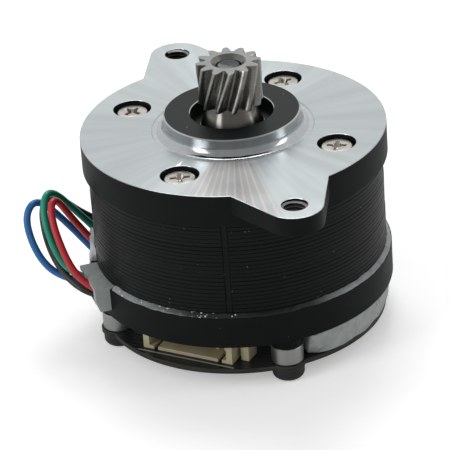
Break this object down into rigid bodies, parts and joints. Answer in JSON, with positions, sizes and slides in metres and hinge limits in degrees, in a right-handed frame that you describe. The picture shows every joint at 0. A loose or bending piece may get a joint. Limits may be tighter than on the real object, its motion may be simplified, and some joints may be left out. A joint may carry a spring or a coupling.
{
  "type": "extruder motor",
  "caption": "Flat round stepper motor with an eared mounting plate, centring boss and helical pinion, and a driver board with a side connector behind it.",
  "frame": {"origin": "on the shaft's axis at the mounting face, midway between the two ear holes", "axes": "+Z along the shaft towards the pinion, +X through the ear holes"},
  "size_m": [0.0504, 0.0429, 0.0336],
  "materials": {
    "front_end_cap": "black paint with a bright turned face",
    "rear_end_cap": "black paint, satin",
    "stator_stack": "blackened laminations",
    "front_insulator": "matt",
    "rear_insulator": "matt",
    "phase_a_coils": "enamelled copper wire",
    "phase_b_coils": "enamelled copper wire",
    "front_bearing_outer_race": "ground",
    "front_bearing_inner_race": "ground",
    "rear_bearing_outer_race": "ground",
    "rear_bearing_inner_race": "ground",
    "front_rotor_cup": "ground laminations",
    "rear_rotor_cup": "ground laminations",
    "rotor_magnet": "plated",
    "shaft": "ground",
    "pinion": "dark, machined",
    "case_screws": "nickel plated",
    "circuit_board": "black resist",
    "board_spacers": "turned",
    "board_screws": "blackened",
    "connector_housing": "cream",
    "connector_contacts": "tinned",
    "connector_tabs": "tinned",
    "side_block": "cream",
    "driver_chip": "moulded",
    "gap_filler": "speckled, soft",
    "exit_seal": "pale sealant",
    "lead_guide": "grey",
    "blue_lead": "satin insulation",
    "green_lead": "satin insulation",
    "red_lead": "satin insulation",
    "black_lead": "satin insulation"
  },
  "bodies": {
    "stator": {"front_end_cap": "front_end_cap", "rear_end_cap": "rear_end_cap", "stator_stack": "stator_stack", "front_insulator": "front_insulator", "rear_insulator": "rear_insulator", "phase_a_coils": "phase_a_coils", "phase_b_coils": "phase_b_coils", "front_bearing_outer_race": "front_bearing_outer_race", "rear_bearing_outer_race": "rear_bearing_outer_race", "case_screws": "case_screws", "circuit_board": "circuit_board", "board_spacers": "board_spacers", "board_screws": "board_screws", "connector_housing": "connector_housing", "connector_contacts": "connector_contacts", "connector_tabs": "connector_tabs", "side_block": "side_block", "driver_chip": "driver_chip", "gap_filler": "gap_filler", "exit_seal": "exit_seal", "lead_guide": "lead_guide", "blue_lead": "blue_lead", "green_lead": "green_lead", "red_lead": "red_lead", "black_lead": "black_lead"},
    "rotor": {"shaft": "shaft", "pinion": "pinion", "front_rotor_cup": "front_rotor_cup", "rear_rotor_cup": "rear_rotor_cup", "rotor_magnet": "rotor_magnet", "front_bearing_inner_race": "front_bearing_inner_race", "rear_bearing_inner_race": "rear_bearing_inner_race"}
  },
  "joints": [
    {"name": "rotor_spin", "type": "hinge", "parent": "stator", "child": "rotor", "pos_m": [0, 0, 0], "axis": [0, 0, 1], "continuous": true}
  ]
}
